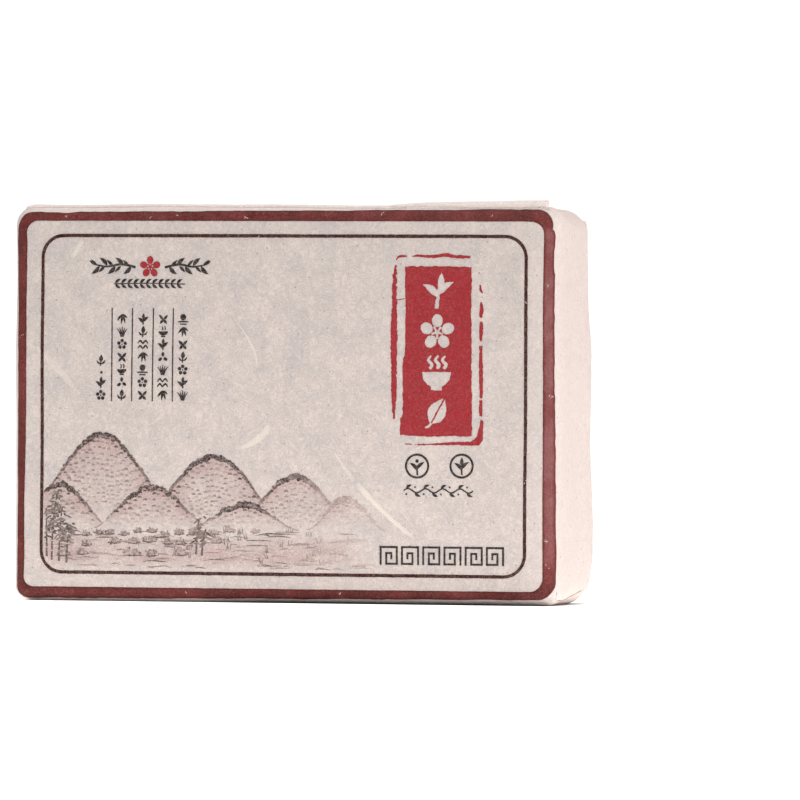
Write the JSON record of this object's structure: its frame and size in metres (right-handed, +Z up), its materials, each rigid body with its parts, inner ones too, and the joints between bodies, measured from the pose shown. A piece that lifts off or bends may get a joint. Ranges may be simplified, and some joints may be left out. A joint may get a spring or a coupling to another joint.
{
  "type": "paper-wrapped fu brick tea",
  "caption": "Upright brick of pressed dark tea in a folded fibrous paper wrapper: soft-edged rectangular block with a flat base, overlapping end flaps and a printed front.",
  "frame": {"origin": "middle of the base, on the surface that the brick stands on", "axes": "+Z up, +X along the length towards the right end as seen from the front, -Y out of the printed face"},
  "size_m": [0.173, 0.04, 0.121],
  "materials": {
    "wrapper_paper": "matt fibrous mulberry-type paper, cream where bare, printed in maroon, dark grey and red on the front"
  },
  "bodies": {
    "root": {"wrapped_brick": "wrapper_paper"}
  },
  "joints": []
}
